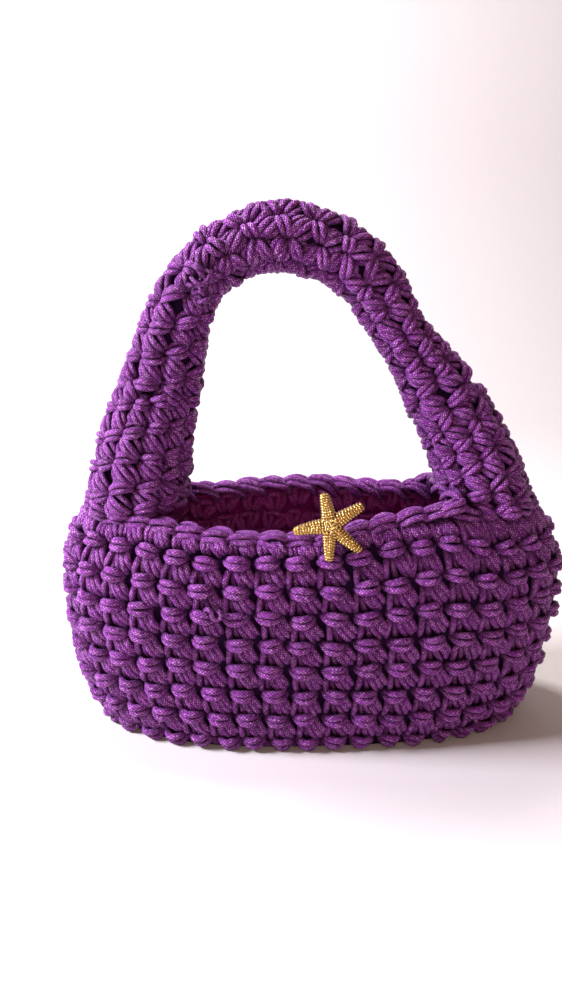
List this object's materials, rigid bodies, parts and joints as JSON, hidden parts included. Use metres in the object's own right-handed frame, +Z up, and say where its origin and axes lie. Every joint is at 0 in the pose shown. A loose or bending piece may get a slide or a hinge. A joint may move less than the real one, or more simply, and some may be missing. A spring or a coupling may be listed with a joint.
{
  "type": "crocheted mini bag",
  "caption": "Small hollow crocheted top-handle bag with an open mouth, an arched folded handle and a starfish charm on the front of its rim.",
  "frame": {"origin": "middle of the underside, on the surface the bag stands on", "axes": "+X along the bag to the right seen from the front, +Y from the front wall to the back wall, +Z up through the handle"},
  "size_m": [0.2502, 0.0922, 0.2569],
  "materials": {
    "purple_cord": "satin braided cord, crocheted",
    "gold_metal": "polished gold tone with cast texture"
  },
  "bodies": {
    "root": {"bag_body": "purple_cord", "handle": "purple_cord", "star_charm": "gold_metal", "star_pin": "gold_metal"}
  },
  "joints": []
}
